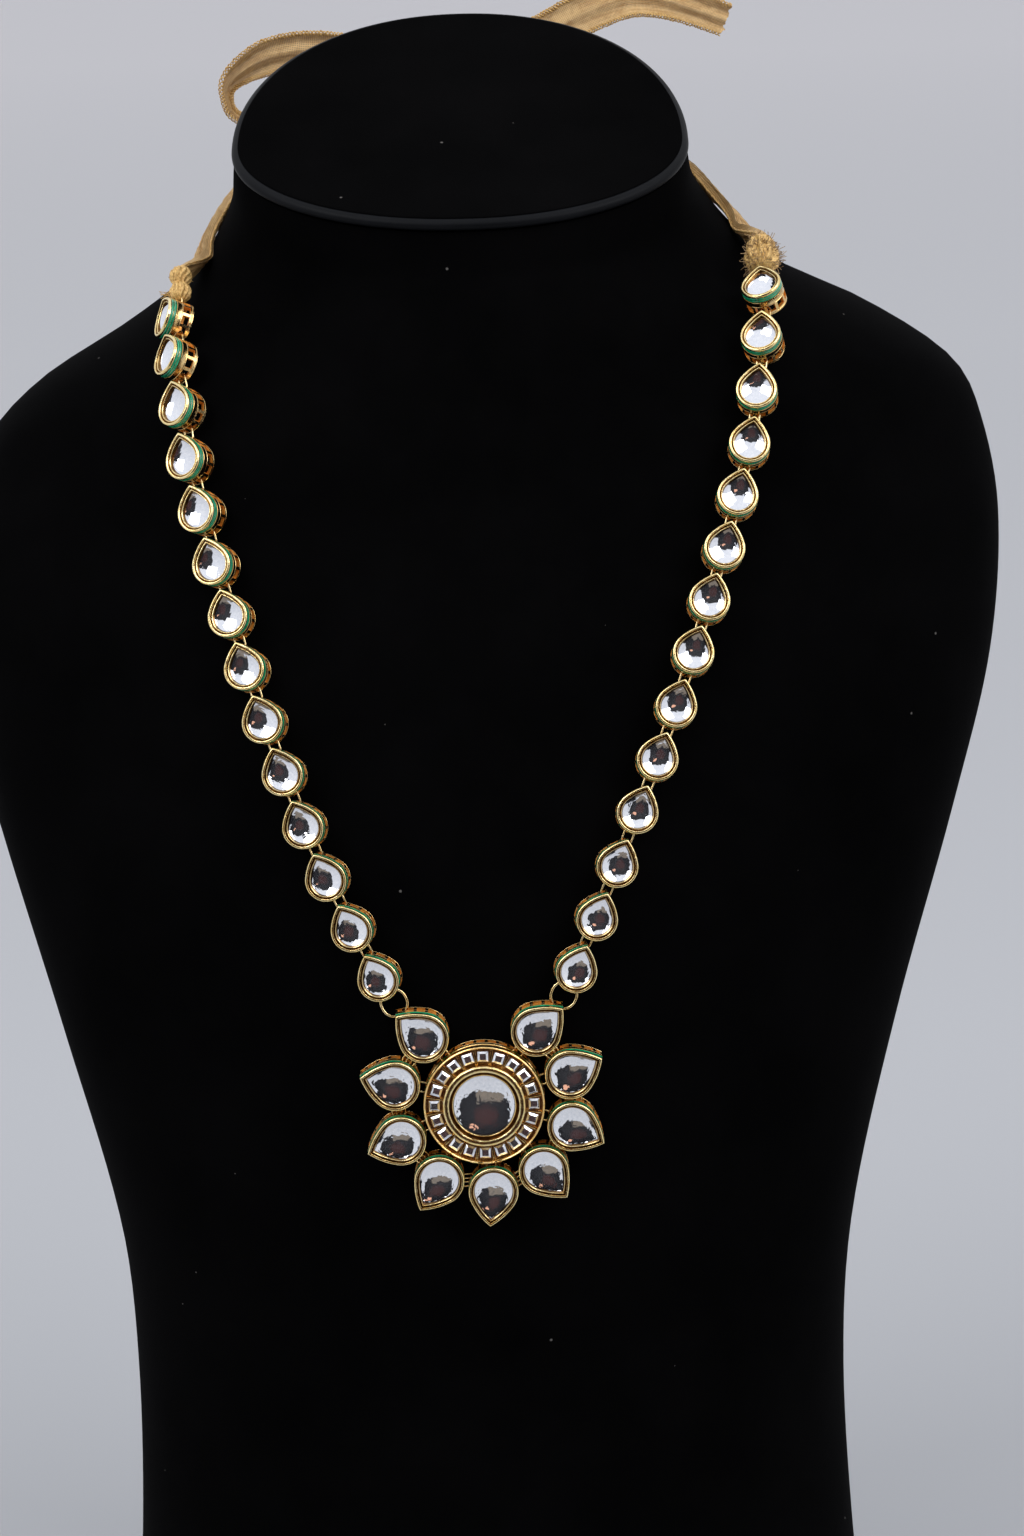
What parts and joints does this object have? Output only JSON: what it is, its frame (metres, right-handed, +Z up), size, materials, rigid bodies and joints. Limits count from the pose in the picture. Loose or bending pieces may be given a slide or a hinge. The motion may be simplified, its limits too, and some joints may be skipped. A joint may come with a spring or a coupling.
{
  "type": "kundan necklace on neck bust",
  "caption": "Gold-tone necklace of pear-shaped mirror-stone settings with green enamel edges, a flower pendant and ribbon ties, hung on a black velvet neck bust.",
  "frame": {"origin": "middle of the bust's flat base, on the surface it stands on", "axes": "+Z up, -Y towards the front of the chest where the necklace hangs, +X to the right as seen from the front"},
  "size_m": [0.2796, 0.179, 0.4537],
  "materials": {
    "velvet": "black velvet",
    "rim": "satin",
    "gold": "polished pale gold plate",
    "stone": "clear glass over a mirror foil",
    "enamel": "glossy green enamel",
    "ribbon": "crinkled golden-beige gauze"
  },
  "bodies": {
    "root": {"bust_form": "velvet", "bust_rim": "rim", "bust_top": "velvet", "link_left_01": "gold", "link_left_02": "gold", "link_left_03": "gold", "link_left_04": "gold", "link_left_05": "gold", "link_left_06": "gold", "link_left_07": "gold", "link_left_08": "gold", "link_left_09": "gold", "link_left_10": "gold", "link_left_11": "gold", "link_left_12": "gold", "link_left_13": "gold", "link_left_14": "gold", "link_right_01": "gold", "link_right_02": "gold", "link_right_03": "gold", "link_right_04": "gold", "link_right_05": "gold", "link_right_06": "gold", "link_right_07": "gold", "link_right_08": "gold", "link_right_09": "gold", "link_right_10": "gold", "link_right_11": "gold", "link_right_12": "gold", "link_right_13": "gold", "link_right_14": "gold", "rings_left": "gold", "stones_left": "stone", "enamel_left": "enamel", "knot_left": "ribbon", "ribbon_left": "ribbon", "rings_right": "gold", "stones_right": "stone", "enamel_right": "enamel", "knot_right": "ribbon", "ribbon_right": "ribbon", "centre_disc": "gold", "centre_stone": "stone", "square_stones": "stone", "petal_01": "gold", "petal_02": "gold", "petal_03": "gold", "petal_04": "gold", "petal_05": "gold", "petal_06": "gold", "petal_07": "gold", "petal_08": "gold", "petal_09": "gold", "petal_stones": "stone", "enamel_petals": "enamel", "pendant_rings": "gold", "bow_knot": "ribbon", "bow_loop": "ribbon", "bow_tail": "ribbon"}
  },
  "joints": []
}
